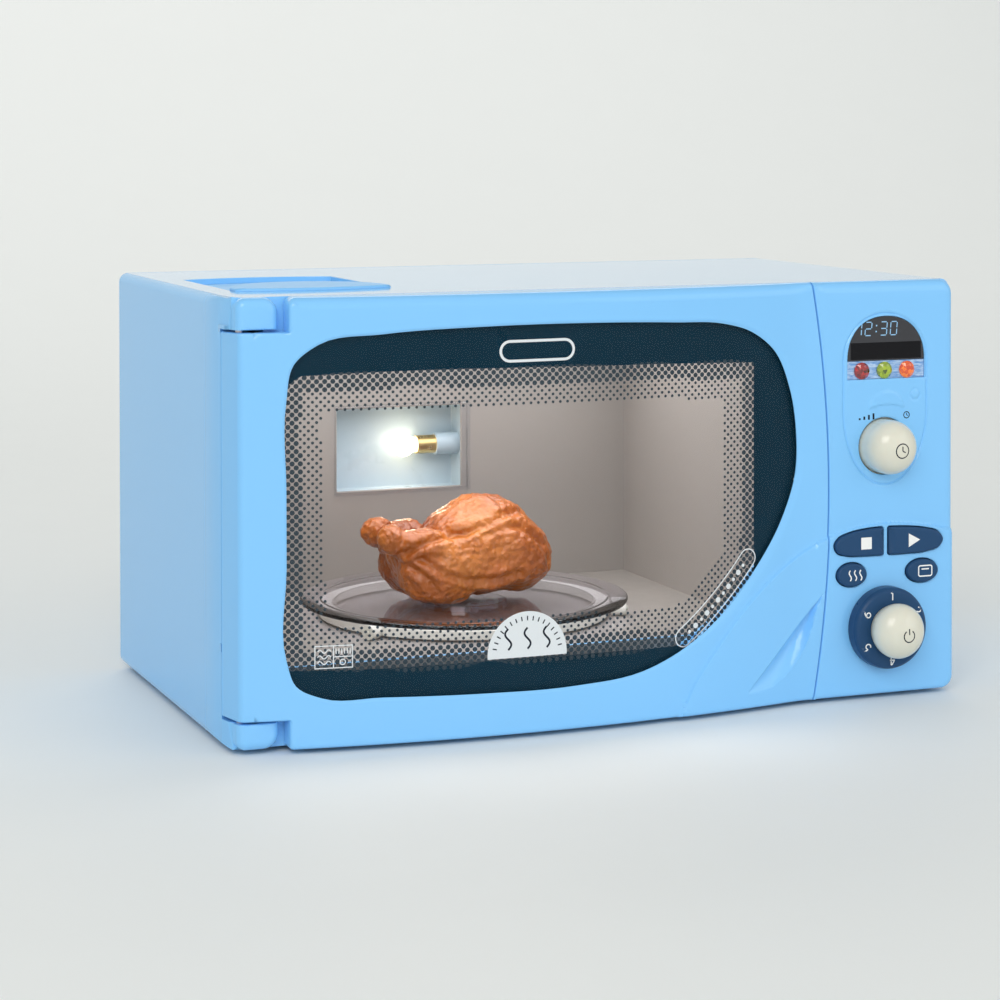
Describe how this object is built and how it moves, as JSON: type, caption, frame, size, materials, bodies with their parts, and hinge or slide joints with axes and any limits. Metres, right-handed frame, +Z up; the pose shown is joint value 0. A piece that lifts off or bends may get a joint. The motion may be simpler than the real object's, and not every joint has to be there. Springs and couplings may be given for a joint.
{
  "type": "toy microwave oven",
  "caption": "Toy microwave oven with a bowed hinged door, dotted window, lit cavity, driven turntable with play food, knobs, push buttons and a battery hatch.",
  "frame": {"origin": "centre of the footprint, on the plane that the feet stand on", "axes": "+X to the right seen from the front, along the width; +Y from the door towards the back; +Z up"},
  "size_m": [0.32, 0.2, 0.1775],
  "materials": {
    "shell_plastic": "smooth gloss sky blue",
    "foot_rubber": "matt dark grey",
    "steel": "bright",
    "cavity_plastic": "satin warm grey",
    "lamp_plastic": "light blue",
    "clear_plastic": "clear moulded plastic",
    "bulb_glass": "frosted warm",
    "brass": "bright",
    "cell_jacket": "printed jacket without lettering",
    "smoked_plastic": "smoked clear plastic",
    "foil_print": "brushed blue foil",
    "gem_red": "clear red",
    "gem_green": "clear lime",
    "gem_amber": "clear orange",
    "board": "lacquered circuit board",
    "key_rubber": "matt silicone",
    "black_plastic": "fine texture",
    "gear_plastic": "natural white",
    "wire_sleeve": "red and black sleeves",
    "printed_window": "clear pane with a dark printed border and dots",
    "food_plastic": "glossy orange brown with bumpy skin",
    "ivory_plastic": "smooth ivory",
    "navy_plastic": "satin navy"
  },
  "bodies": {
    "oven": {"rear_housing": "shell_plastic", "top_cover": "shell_plastic", "base_plate": "shell_plastic", "feet": "foot_rubber", "base_screws": "steel", "housing_screws": "steel", "front_frame": "shell_plastic", "control_panel": "shell_plastic", "cavity_liner": "cavity_plastic", "lamp_housing": "lamp_plastic", "lamp_lens": "clear_plastic", "lamp_bulb": "bulb_glass", "bulb_holder": "brass", "battery_box": "shell_plastic", "battery_contacts": "steel", "battery_cells": "cell_jacket", "display_lens": "smoked_plastic", "display_card": "foil_print", "gem_red": "gem_red", "gem_green": "gem_green", "gem_amber": "gem_amber", "control_pcb": "board", "keypad": "key_rubber", "timer_switch": "black_plastic", "power_switch": "black_plastic", "speaker": "black_plastic", "motor": "steel", "gearbox_frame": "gear_plastic", "gear_axle": "steel", "latch_catch": "steel", "hinge_pin_upper": "steel", "hinge_pin_lower": "steel", "wire_loom": "wire_sleeve"},
    "door": {"door_frame": "shell_plastic", "door_window": "printed_window", "door_inner_panel": "shell_plastic", "door_latch": "gear_plastic", "door_screws": "steel"},
    "hatch": {"battery_cover": "shell_plastic", "cover_screw": "steel"},
    "drive": {"output_gear": "gear_plastic", "drive_coupler": "gear_plastic"},
    "turntable": {"turntable_plate": "clear_plastic"},
    "food": {"play_chicken": "food_plastic"},
    "idler": {"compound_gear": "gear_plastic"},
    "motor_rotor": {"motor_pinion": "brass"},
    "roller": {"roller_ring": "gear_plastic"},
    "wheel_a": {"roller_wheel_a": "gear_plastic"},
    "wheel_b": {"roller_wheel_b": "gear_plastic"},
    "wheel_c": {"roller_wheel_c": "gear_plastic"},
    "timer": {"timer_knob": "ivory_plastic"},
    "power": {"power_dial": "navy_plastic", "power_cap": "ivory_plastic"},
    "stop": {"stop_button": "navy_plastic"},
    "start": {"start_button": "navy_plastic"},
    "grill": {"grill_button": "navy_plastic"},
    "oven_key": {"oven_button": "navy_plastic"}
  },
  "joints": [
    {"name": "door_hinge", "type": "hinge", "parent": "oven", "child": "door", "pos_m": [-0.1535, -0.0725, 0.09], "axis": [0, 0, -1], "range_deg": [0, 110]},
    {"name": "turntable_spin", "type": "hinge", "parent": "oven", "child": "drive", "pos_m": [-0.032, 0.005, 0.02], "axis": [0, 0, 1], "continuous": true},
    {"name": "idler_spin", "type": "hinge", "parent": "oven", "child": "idler", "pos_m": [-0.012, 0.005, 0.015], "axis": [0, 0, 1], "continuous": true},
    {"name": "motor_spin", "type": "hinge", "parent": "oven", "child": "motor_rotor", "pos_m": [0.008, 0.005, 0.015], "axis": [0, 0, 1], "continuous": true},
    {"name": "roller_ring_spin", "type": "hinge", "parent": "oven", "child": "roller", "pos_m": [-0.032, 0.005, 0.035], "axis": [0, 0, 1], "continuous": true},
    {"name": "roller_wheel_a_spin", "type": "hinge", "parent": "roller", "child": "wheel_a", "pos_m": [-0.08647, -0.03314, 0.03525], "axis": [-0.8192, -0.5736, 0], "continuous": true},
    {"name": "roller_wheel_b_spin", "type": "hinge", "parent": "roller", "child": "wheel_b", "pos_m": [0.02827, -0.0231, 0.03525], "axis": [0.9063, -0.4226, 0], "continuous": true},
    {"name": "roller_wheel_c_spin", "type": "hinge", "parent": "roller", "child": "wheel_c", "pos_m": [-0.0378, 0.07125, 0.03525], "axis": [-0.0872, 0.9962, 0], "continuous": true},
    {"name": "turntable_lift", "type": "slide", "parent": "drive", "child": "turntable", "axis": [0, 0, 1], "range_m": [0, 0.03]},
    {"name": "food_lift", "type": "slide", "parent": "turntable", "child": "food", "axis": [0, 0, 1], "range_m": [0, 0.03]},
    {"name": "timer_turn", "type": "hinge", "parent": "oven", "child": "timer", "pos_m": [0.1262, -0.0785, 0.1066], "axis": [0, 1, 0], "range_deg": [0, 300]},
    {"name": "power_turn", "type": "hinge", "parent": "oven", "child": "power", "pos_m": [0.1253, -0.0785, 0.0307], "axis": [0, 1, 0], "range_deg": [0, 300]},
    {"name": "stop_press", "type": "slide", "parent": "oven", "child": "stop", "axis": [0, 1, 0], "range_m": [0, 0.002], "stiffness_N_per_m": 350, "springref_m": -0.001},
    {"name": "start_press", "type": "slide", "parent": "oven", "child": "start", "axis": [0, 1, 0], "range_m": [0, 0.002], "stiffness_N_per_m": 350, "springref_m": -0.001},
    {"name": "grill_press", "type": "slide", "parent": "oven", "child": "grill", "axis": [0, 1, 0], "range_m": [0, 0.002], "stiffness_N_per_m": 350, "springref_m": -0.001},
    {"name": "oven_press", "type": "slide", "parent": "oven", "child": "oven_key", "axis": [0, 1, 0], "range_m": [0, 0.002], "stiffness_N_per_m": 350, "springref_m": -0.001},
    {"name": "hatch_lift", "type": "slide", "parent": "oven", "child": "hatch", "axis": [0, 0, 1], "range_m": [0, 0.03]}
  ],
  "couplings": [
    {"joint": "idler_spin", "follows": "turntable_spin", "ratio": -3},
    {"joint": "motor_spin", "follows": "turntable_spin", "ratio": 9},
    {"joint": "roller_ring_spin", "follows": "turntable_spin", "ratio": 0.5},
    {"joint": "roller_wheel_a_spin", "follows": "turntable_spin", "ratio": -10.391},
    {"joint": "roller_wheel_b_spin", "follows": "turntable_spin", "ratio": -10.391},
    {"joint": "roller_wheel_c_spin", "follows": "turntable_spin", "ratio": -10.391}
  ]
}
